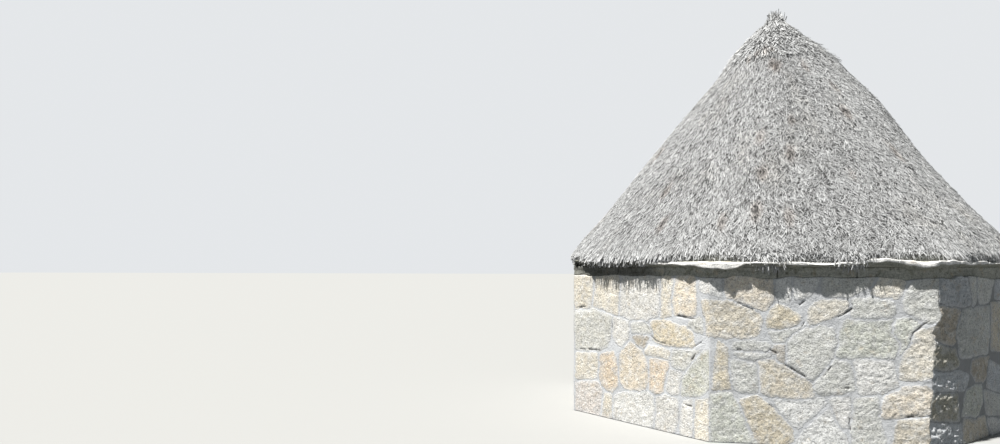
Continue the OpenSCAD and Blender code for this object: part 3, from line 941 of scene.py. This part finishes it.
class HUT_OT_eaves_slabs(bpy.types.Operator):
    """Break the edges of the flat stones on the wall's top"""

    bl_idname = "hut.eaves_slabs"
    bl_label = "Eaves Slabs"

    def execute(self, context):
        material = stone_finish(
            "slab_stone", (0.34, 0.34, 0.29), (0.86, 0.85, 0.82), (0.24, 0.24, 0.18), 0.5)
        for side, where in enumerate(SLABS):
            node = "eaves_slabs_" + where
            bm = copy_of(node)
            turn_about_axis(bm, -side)
            round_arrises(bm, 0.006, 1)
            cut(bm, 0, np.arange(-1.2, 1.9, 0.026))
            cut(bm, 1, [-SLAB_FACE + d for d in (0.022, 0.045, 0.075, 0.115, 0.2)])
            cut(bm, 2, np.linspace(SLAB_BED, SLAB_TOP, 7)[1:-1])
            turn_about_axis(bm, side)
            piece = piece_of("broken_" + node, bm, material, [node])
            mesh = piece.data
            co = places(mesh)
            apothem, along, facing, u = octagon_place(co)
            level = (co[:, 2] - SLAB_BED) / (SLAB_TOP - SLAB_BED)
            proud = smooth(apothem, FRONT_FACE + 0.01, SLAB_FACE - 0.02)
            chip = 0.007 * np.abs(rough(along, level * 0.1, 0.07, 41))
            chip = chip + 0.010 * np.maximum(ripple(along, 0.28, 43, 2), 0)
            angle = polar(co)[0]
            whole = fade(np.abs(angle - WHOLE_SLAB), 0.05, 0.12)
            lip = 0.58 + 0.36 * ripple(along, 0.17, 51, 7) - 0.55 * whole
            undercut = 0.018 + 0.026 * np.abs(ripple(along, 0.16, 45, 5))
            undercut = smooth(lip - level, 0.0, 0.30) * undercut
            gone = fade(away_from(angle, WORN_CORNER), 0.12, 0.24)
            further = bulges(angle, PROUD_SLABS)
            chip = chip * fade(further, 0.0, 0.02) - 0.012 - further + 0.11 * gone
            co[:, :2] -= facing * ((chip + undercut) * proud)[:, None]
            # The rough ends are brought together, which closes the joints between slabs
            closing = 0.0042
            normal = vectors(mesh.vertices, "normal")
            ends = normal[:, 0] * facing[:, 1] - normal[:, 1] * facing[:, 0]
            beside = np.column_stack((facing[:, 1], -facing[:, 0]))
            co[:, :2] += beside * (closing * np.sign(ends) * (np.abs(ends) > 0.4))[:, None]
            flaw = rough(co[:, 0] * 1.3, co[:, 1] * 1.3, 0.14, 47)
            droop = 0.010 - 0.028 * smooth(np.abs(u), 0.45, 1.0) + 0.024 * ripple(along, 0.30, 49, 9)
            rise = 0.046 * ripple(along, 0.24, 53, 11) - 0.006
            top, bottom = 0.004 * flaw + rise, 0.006 * flaw + droop
            co[:, 2] += proud * (top * level + bottom * (1 - level))
            set_places(mesh, co)
            # Marks the slabs under the left eave for painted shade
            set_attribute(mesh, "damp", "FLOAT", bulges(angle, PAINTED_EAVE_SHADE))
            # The outer face above the lip is pale, partly as a fresh break and partly as painted
            # sunlight on the upper edge. Below the lip the slab keeps its dark colour, partly painted
            # shade, and the worn corner keeps no pale edge
            broken = smooth(apothem, SLAB_FACE - 0.075, SLAB_FACE - 0.03)
            broken = broken * smooth(level - lip, -0.18, 0.05) * (1 - gone)
            set_attribute(mesh, "broken", "FLOAT", broken)
        return {"FINISHED"}


class HUT_OT_doorway_stones(bpy.types.Operator):
    """Dress the jambs, the lintel and the threshold"""

    bl_idname = "hut.doorway_stones"
    bl_label = "Doorway Stones"

    def execute(self, context):
        material = stone_finish(
            "dressed_stone", (0.62, 0.61, 0.57), (0.72, 0.71, 0.67), (0.42, 0.41, 0.34), 0.6)
        for node in ("door_jamb_left", "door_jamb_right", "door_lintel", "door_threshold"):
            bm = copy_of(node)
            low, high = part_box(node)
            round_arrises(bm, 0.010)
            pitch = 0.032
            for axis in range(3):
                count = max(2, round((high[axis] - low[axis]) / pitch))
                cut(bm, axis, np.linspace(low[axis], high[axis], count + 1)[1:-1])
            bm.normal_update()
            for vertex in bm.verts:
                x, y, z = vertex.co
                wave = rough(np.array([x + z * 1.7]), np.array([y - z * 2.3]), 0.11, 61)
                vertex.co -= vertex.normal * (0.0022 + 0.0030 * float(wave[0]))
            piece_of("dressed_" + node, bm, material, [node])
        return {"FINISHED"}


class HUT_OT_roof_frame(bpy.types.Operator):
    """Give the poles, the hoops and the king block their wood"""

    bl_idname = "hut.roof_frame"
    bl_label = "Roof Frame"

    def execute(self, context):
        pole = wood_finish("pole_wood", (0.36, 0.27, 0.18), (0.13, 0.09, 0.06), 3, 50, 45)
        hazel = wood_finish("hoop_wood", (0.28, 0.20, 0.12), (0.10, 0.07, 0.045), 60, 5, 60)
        for name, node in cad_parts.items():
            if "rafter" in name or name == "king_block":
                material = pole
            elif name == "roof_hoops":
                material = hazel
            else:
                continue
            for place in node.material_slots:
                place.material = material
            if not node.material_slots:
                node.data.materials.append(material)
        return {"FINISHED"}


# Thatch

# The share of a straw that lies behind its root's place, the height up to which straws
# may hang over the slabs, the radius that patterns are wrapped on, and the straw's
# colour in the room
STRAW_ROOT = 0.28
EAVE_TOP = SLAB_TOP + 0.22
MEAN_RADIUS = 2.4
ROOM_STRAW = np.array([0.20, 0.16, 0.11])


def section_of(node, pitch):
    """The outline of a packed round part on one side of its axis."""
    bm = copy_of(node)
    off = [v for v in bm.verts if abs(v.co.y) > 0.0002 or v.co.x < -0.0002]
    bmesh.ops.delete(bm, geom=off, context="VERTS")
    for edge in bm.edges[:]:
        pieces = round(edge.calc_length() / pitch)
        if pieces > 1:
            bmesh.ops.subdivide_edges(bm, edges=[edge], cuts=pieces - 1)
    return bm


def thatch_body(node, pitch, steps):
    """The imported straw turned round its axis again, fine enough to be uneven."""
    bm = section_of(node, pitch)
    bmesh.ops.spin(
        bm, geom=bm.verts[:] + bm.edges[:], cent=(0, 0, 0), axis=(0, 0, 1), dvec=(0, 0, 0),
        angle=2 * math.pi, steps=steps, use_merge=True, use_duplicate=False)
    bmesh.ops.remove_doubles(bm, verts=bm.verts, dist=0.0004)
    bmesh.ops.recalc_face_normals(bm, faces=bm.faces)
    return in_fixed_order(bm)


def in_fixed_order(bm):
    """The same body with its faces in the order of their corners. Spin leaves them in
    another order on each run, and the loose straws are strewn face by face."""
    bm.verts.index_update()
    rings = []
    for face in bm.faces:
        ring = [vertex.index for vertex in face.verts]
        first = ring.index(min(ring))
        rings.append(ring[first:] + ring[:first])
    ordered = bmesh.new()
    corners = [ordered.verts.new(vertex.co) for vertex in bm.verts]
    for ring in sorted(rings):
        ordered.faces.new([corners[i] for i in ring])
    bm.free()
    return ordered


def lining_radius(z):
    return LINING_FOOT - (z - SLAB_TOP) / ROOF_RISE


def uneven(settings, co, sink):
    """Lumps, hollows and the sagged shoulder of the weathered straw."""
    angle, radius = polar(co)
    z = co[:, 2]
    outside = smooth(radius - lining_radius(z), 0.10, 0.26)
    wrapped = np.abs(angle) * MEAN_RADIUS
    lump = 0.011 * rough(wrapped + 9 * (angle > 0), z, 0.36, 71)
    lump = lump * smooth(math.pi - np.abs(angle), 0, 0.2)
    shoulder = settings.shoulder * fade(away_from(angle, SHOULDER), 0.15, 1.25) * (
        smooth(z, 3.0, 3.90) * fade(z, 4.25, 4.86))
    hollow = 0.058 * smooth(z, 1.98, 2.55) * fade(z, 4.15, 4.7)
    full = fade(np.abs(angle - FULL_EAVE), 0.25, 0.55)
    aside = angle - np.round(angle / TURN) * TURN
    back = np.maximum(THATCH_EDGE - (SLAB_FACE - 0.010) / np.cos(aside), 0)
    edge = fade(z, SLAB_TOP + 0.02, SLAB_TOP + 0.34) * (
        0.010 * full + 0.012 * ripple(wrapped, 0.22, 73) - back)
    grow = outside * (lump - sink + shoulder - hollow + edge)
    co[:, :2] *= (1 + grow / np.maximum(radius, 0.001))[:, None]
    return co


def straw_mesh():
    """One straw end along +X: an edge at its root and one at its tip, crossed so
    that the four faces between them keep its width."""
    bm = bmesh.new()
    tip = bm.verts.layers.float.new("straw_tip")
    for at_tip, y, z in ((0, -0.5, -0.5), (0, 0.5, 0.5), (1, -0.4, 0.4), (1, 0.4, -0.4)):
        vertex = bm.verts.new((at_tip - STRAW_ROOT, y, z))
        vertex[tip] = at_tip
    bmesh.ops.convex_hull(bm, input=bm.verts)
    bmesh.ops.recalc_face_normals(bm, faces=bm.faces)
    return mesh_of("straw", bm)


def lay_straws(piece, straw, where, density, length, width, yaw, clump, rise, seed, upward=False):
    """Lays loose straws on the faces marked by where, down the slope, as mesh."""
    group = bpy.data.node_groups.new("loose_straw", "GeometryNodeTree")
    for direction in ("INPUT", "OUTPUT"):
        group.interface.new_socket("Geometry", in_out=direction, socket_type="NodeSocketGeometry")
    tree = Tree(group)
    body = tree.node("NodeGroupInput")
    position = tree.node("GeometryNodeInputPosition")

    def named(name):
        return tree.node("GeometryNodeInputNamedAttribute", {"data_type": "FLOAT"}, {"Name": name})

    def draw(low, high, number):
        return tree.node("FunctionNodeRandomValue", {"data_type": "FLOAT"},
                         {2: low, 3: high, "Seed": seed * 10 + number}, out=1)

    def wave(scale):
        return tree.node("ShaderNodeTexNoise", {"noise_dimensions": "3D"},
                         {"Vector": position, "Scale": scale, "Detail": 1.0}) - 0.5

    def turned(rotation, x, y, z):
        return tree.node("FunctionNodeRotateRotation", {"rotation_space": "LOCAL"},
                         {"Rotation": rotation, "Rotate By": tree.vector(x, y, z)})

    thin = tree.node("ShaderNodeMapRange", {"clamp": True},
                     {0: wave(17.0), 1: -0.13, 2: -0.06, 3: 0.25, 4: 1.0})
    bare = tree.maths("LESS_THAN", named("straw_number"), 0.005)
    spread = named(where) * bare * thin * density
    points = tree.node("GeometryNodeDistributePointsOnFaces", {"distribute_method": "RANDOM"},
                       {"Mesh": body, "Density": spread, "Seed": seed})
    broad, local = wave(2.3), wave(7.5)
    lean = ((broad * 1.2 + local * 1.6) * clump + draw(-yaw, yaw, 1)) * named("unrest")
    facing = tree.node("FunctionNodeAlignRotationToVector", {"axis": "Z"},
                       {"Vector": points.out("Normal")})
    facing = tree.node("FunctionNodeAlignRotationToVector", {"axis": "X", "pivot_axis": "Z"},
                       {"Rotation": facing, "Vector": (0, 0, 1 if upward else -1)})
    facing = turned(facing, 0.0, draw(*rise, 2) * -1.0, lean)
    facing = turned(facing, draw(-0.5, 0.5, 3), 0.0, 0.0)
    thick = draw(0.6, 1.3, 4) * width
    long = (draw(0.55, 1.0, 5) + (draw(0.0, 1.0, 6) ** 14) * 0.9 + local * 0.9) * length
    height = tree.node("ShaderNodeSeparateXYZ", {}, {0: position}, out="Z")
    room = (height - named("reach")) * 1.45 + draw(-0.01, 0.045, 8)
    long = tree.maths("MAXIMUM", tree.maths("MINIMUM", long, room), 0.012)
    numbered = tree.node(
        "GeometryNodeStoreNamedAttribute", {"data_type": "FLOAT", "domain": "POINT"},
        {"Geometry": points, "Name": "straw_number", "Value": draw(0.01, 1.0, 7)})
    source = tree.node("GeometryNodeObjectInfo", {}, {"Object": straw}, out="Geometry")
    laid = tree.node("GeometryNodeInstanceOnPoints", {}, {
        "Points": numbered, "Instance": source, "Rotation": facing,
        "Scale": tree.vector(long, thick, thick * 0.4)})
    laid = tree.node("GeometryNodeRealizeInstances", {}, {"Geometry": laid})
    both = tree.node("GeometryNodeJoinGeometry", {}, {"Geometry": laid})
    group.links.new(body.socket, both.socket.node.inputs[0])
    tree.node("NodeGroupOutput", {}, {0: both})
    modifier = piece.modifiers.new("loose_straw", "NODES")
    modifier.node_group = group
    graph = bpy.context.evaluated_depsgraph_get()
    graph.update()
    mesh = bpy.data.meshes.new_from_object(piece.evaluated_get(graph))
    piece.modifiers.clear()
    old, piece.data = piece.data, mesh
    bpy.data.meshes.remove(old)
    bpy.data.node_groups.remove(group)


def read_attribute(mesh, name):
    values = np.zeros(len(mesh.vertices), np.float32)
    found = mesh.attributes.get(name)
    if found is not None:
        found.data.foreach_get("value", values)
    return values


def kept_inside(co, room):
    """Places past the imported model's box are bent back into it, ever more firmly."""
    for axis, hand, limit in ((0, 1, cad_high.x), (0, -1, -cad_low.x), (1, 1, cad_high.y),
                              (1, -1, -cad_low.y), (2, 1, cad_high.z)):
        past = np.maximum(hand * co[:, axis] - (limit - room - 0.001), 0)
        co[:, axis] -= hand * (past - room * (1 - np.exp(-past / room)))
    return co


def tint_straw(settings, piece, room):
    """Colours each straw, darker at its root, and the straw body under them."""
    mesh = piece.data
    co = kept_inside(places(mesh), room)
    set_places(mesh, co)
    number, tip = read_attribute(mesh, "straw_number"), read_attribute(mesh, "straw_tip")
    angle, radius = polar(co)
    z = co[:, 2]
    around = (angle + math.pi) * 2.0
    patch = rough(around, z, 0.5, 81)
    middle = rough(around, z, 0.2, 85)
    fine = rough(around, z, 0.09, 83)
    low = fade(z, SLAB_TOP + 0.03, SLAB_TOP + 0.14)

    # Each straw's place between dark and pale, less varied on the painted-light and calm sides
    part = 0.05 + 0.99 * number ** 0.8 + 0.05 * patch + 0.06 * middle + 0.09 * fine
    part = np.clip(0.5 + (part - 0.5) * (1 + 0.30 * smooth(z, 4.2, 4.6)), 0, 1.15)
    towards_painted_light, towards_calm = np.cos(angle - PAINTED_LIGHT_SIDE), np.cos(angle - CALM_SIDE)
    even = 0.55 * smooth(towards_painted_light, 0.1, 0.9) + 0.12 * smooth(towards_calm, 0.3, 0.9)
    part = part + (0.53 - part) * even
    pale, dark = np.array(settings.straw_pale), np.array(settings.straw_dark)
    colour = dark + (pale - dark) * part[:, None]
    # Painted light: the straws toward one side, and in the lowest band at the eave, are made paler
    colour = colour * (1 + 0.52 * smooth(towards_painted_light, 0.15, 1.0)
                       + 0.08 * smooth(z, 4.15, 4.5) + 0.26 * low)[:, None]
    brown = smooth(rough(around + 30, z, 0.4, 87) + 0.5 * number, 0.6, 1.0) * 0.35
    colour = colour * (1 - brown[:, None] * np.array([0.02, 0.07, 0.14]))
    colour = colour * (0.66 + 0.34 * tip)[:, None]

    # The straw body: brown in the room, and between the loose straws dark as painted shade, lighter at
    # the eave as painted light
    streaks = 1 + 0.3 * rough(around * 8, z, 0.4, 89)
    inside = ROOM_STRAW * streaks[:, None]
    bare = dark * (0.42 + 0.15 * fine + 1.0 * low)[:, None]
    inner = radius < lining_radius(z) + 0.12
    colour = np.where(number[:, None] > 0, colour, np.where(inner[:, None], inside, bare))
    # Each hole is painted dark as painted shade, with a brownish rim
    for direction, height, size in HOLES_PAINTED_DARK:
        aside = away_from(angle, math.radians(direction)) * radius
        away = np.hypot(aside * 1.25, (z - height) * 0.7) + 0.025 * fine
        colour *= (0.14 + 0.86 * smooth(away, size * 0.25, size * 0.8))[:, None]
        colour *= 1 - fade(away, size * 0.8, size * 1.8)[:, None] * np.array([0.02, 0.08, 0.12])
    set_attribute(mesh, "straw_colour", "FLOAT_COLOR", np.clip(colour, 0.01, 0.94))
    for name in ("slope", "eave", "reach", "unrest", "straw_number", "straw_tip"):
        found = mesh.attributes.get(name)
        if found is not None:
            mesh.attributes.remove(found)


def straw_piece(settings, straw, material, node, name, seed, pitch=0.075, steps=150, sink=0.014,
                tuck=0.0, squat=1.0, room=0.07, **lay):
    """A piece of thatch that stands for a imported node."""
    piece = piece_of(name, thatch_body(node, pitch, steps), material, [node], flat=True)
    mesh = piece.data
    co = places(mesh)
    foot = co[:, 2].min()
    co[:, 2] = foot + (co[:, 2] - foot) * squat
    sink = sink + tuck * fade(co[:, 2], foot + 0.4, foot + 0.62)
    set_places(mesh, uneven(settings, co, sink))
    normal, centre = vectors(mesh.polygons, "normal"), vectors(mesh.polygons, "center")
    angle, radius = polar(centre)
    outward = (normal[:, :2] * centre[:, :2]).sum(1) / radius > 0.5
    calm = away_from(angle, CALM_SIDE)
    drop = bulges(angle, HANGING)
    reach = SLAB_TOP - 0.012 + 0.032 * ripple(np.abs(angle) * 6, 0.40, 75) - drop
    for mark, values in (
            ("slope", outward * (0.7 + 0.3 * (centre[:, 1] < 0.9))), ("reach", reach),
            ("eave", outward & (centre[:, 2] < EAVE_TOP) & (drop > 0.02)),
            ("unrest", 0.55 + 0.75 * smooth(calm, 0.6, 1.3))):
        made = mesh.attributes.new(mark, "FLOAT", "FACE")
        made.data.foreach_set("value", values.astype(np.float32))
    options = dict(density=settings.straw_density, length=settings.straw_length,
                   width=settings.straw_width, yaw=0.70, clump=0.95, rise=(0.02, 0.17))
    options.update(lay)
    lay_straws(piece, straw, "slope", seed=seed, **options)
    if centre[:, 2].min() < EAVE_TOP:
        lay_straws(piece, straw, "eave", density=3600, length=0.24, width=settings.straw_width,
                   yaw=0.4, clump=1.0, rise=(-0.02, 0.10), seed=seed + 50)
    tint_straw(settings, piece, room)
    return piece


class HUT_OT_thatch(bpy.types.Operator):
    """Thatch the roof with lapped courses, a cap and a tuft of loose straw"""

    bl_idname = "hut.thatch"
    bl_label = "Thatch"

    def execute(self, context):
        settings = context.scene.hut
        material = straw_finish()
        mesh = straw_mesh()
        mesh.materials.append(material)
        straw = in_scene("straw", mesh)
        for course in range(1, 6):
            straw_piece(settings, straw, material, f"thatch_course_{course}",
                        f"loose_straw_course_{course}", course)
        straw_piece(settings, straw, material, "thatch_cap", "loose_straw_cap", 6,
                    pitch=0.05, steps=96, tuck=0.024, width=0.0105, length=0.15, yaw=0.5,
                    clump=0.7, rise=(0.04, 0.30))
        straw_piece(settings, straw, material, "straw_tuft", "upright_straw_tuft", 7,
                    pitch=0.05, steps=32, sink=0.02, squat=0.72, room=0.02, density=3200,
                    length=0.17, width=0.012, yaw=0.6, clump=0.8, rise=(0.15, 0.75), upward=True)
        bpy.data.objects.remove(straw)
        return {"FINISHED"}


# The photograph's view: the eye, where it looks, the lens and its shift upwards
EYE, GAZE = (-1.755, -10.717, 1.82), (-0.1757, 0.9844, 0)
LENS, LENS_SHIFT = 28.08, 0.041
# Where the sun stands: its direction on the ground and its height
SUN_GROUND, SUN_HEIGHT = (-0.708, -0.706), math.radians(65)
# The floor's colour for the light that it throws back, and the world's as light and as seen
FLOOR_BOUNCE, SKY_LIGHT, SKY_SEEN = (0.12, 0.125, 0.13), (0.82, 0.93, 1.0), (0.78, 0.80, 0.82)


def background_rays(tree):
    """1 for the rays that show the background: to the camera, by gloss or through glass."""
    path = tree.node("ShaderNodeLightPath", out="Is Camera Ray")
    gloss = tree.maths("MAXIMUM", path, path.out("Is Glossy Ray"))
    return tree.maths("MAXIMUM", gloss, path.out("Is Transmission Ray"))


class HUT_OT_stage(bpy.types.Operator):
    """Set up the pale floor, the studio light and the camera"""

    bl_idname = "hut.stage"
    bl_label = "Stage"

    def execute(self, context):
        scene = context.scene
        settings = scene.hut
        bm = bmesh.new()
        bmesh.ops.create_grid(bm, x_segments=1, y_segments=1, size=120)
        mesh = mesh_of("floor", bm)
        floor = in_scene("floor", mesh)
        finish = Finish("studio_floor")
        colour = finish.blend(background_rays(finish), FLOOR_BOUNCE, tuple(settings.floor))
        mesh.materials.append(finish.done(colour, 0.95, specular=0.0))

        world = bpy.data.worlds.new("studio")
        world.use_nodes = True
        world.node_tree.nodes.clear()
        tree = Tree(world.node_tree)
        fill = tree.node("ShaderNodeBackground", {}, {
            "Color": (*SKY_LIGHT, 1), "Strength": settings.fill_strength})
        plain = tree.node("ShaderNodeBackground", {}, {"Color": (*SKY_SEEN, 1), "Strength": 1.0})
        mixed = tree.node("ShaderNodeMixShader", {}, {0: background_rays(tree), 1: fill, 2: plain})
        tree.node("ShaderNodeOutputWorld", {}, {"Surface": mixed})
        scene.world = world

        lamp = bpy.data.lights.new("key", "SUN")
        lamp.energy, lamp.angle = settings.key_strength, math.radians(1.6)
        lamp.color = (1.0, 0.985, 0.955)
        key = in_scene("key", lamp)
        over = math.cos(SUN_HEIGHT)
        towards = Vector((SUN_GROUND[0] * over, SUN_GROUND[1] * over, math.sin(SUN_HEIGHT)))
        key.rotation_mode = "QUATERNION"
        key.rotation_quaternion = towards.to_track_quat("Z", "Y")

        lens = bpy.data.cameras.new("camera")
        lens.sensor_width, lens.lens, lens.shift_y = 36, LENS, LENS_SHIFT
        lens.clip_end = 400
        camera = in_scene("camera", lens)
        camera.location = EYE
        camera.rotation_mode = "QUATERNION"
        camera.rotation_quaternion = Vector(GAZE).to_track_quat("-Z", "Y")
        scene.camera = camera
        scene.view_settings.view_transform = "Standard"
        return {"FINISHED"}


OPERATORS = (
    HUT_OT_rubble_walls, HUT_OT_levelling_stones, HUT_OT_eaves_slabs, HUT_OT_doorway_stones,
    HUT_OT_roof_frame, HUT_OT_thatch, HUT_OT_stage,
)


class HUT_PT_panel(bpy.types.Panel):
    """The hut's settings and steps"""

    bl_idname = "HUT_PT_panel"
    bl_label = "Thatched Stone Hut"
    bl_space_type = "VIEW_3D"
    bl_region_type = "UI"
    bl_category = "Hut"

    def draw(self, context):
        for name in HutSettings.__annotations__:
            self.layout.prop(context.scene.hut, name)
        for operator in OPERATORS:
            self.layout.operator(operator.bl_idname)


CLASSES = (HutSettings, *OPERATORS, HUT_PT_panel)


def register():
    for each in CLASSES:
        bpy.utils.register_class(each)
    bpy.types.Scene.hut = PointerProperty(type=HutSettings)


def unregister():
    del bpy.types.Scene.hut
    for each in reversed(CLASSES):
        bpy.utils.unregister_class(each)


def main():
    register()
    for operator in OPERATORS:
        group, name = operator.bl_idname.split(".")
        getattr(getattr(bpy.ops, group), name)()


if __name__ == "__main__":
    main()
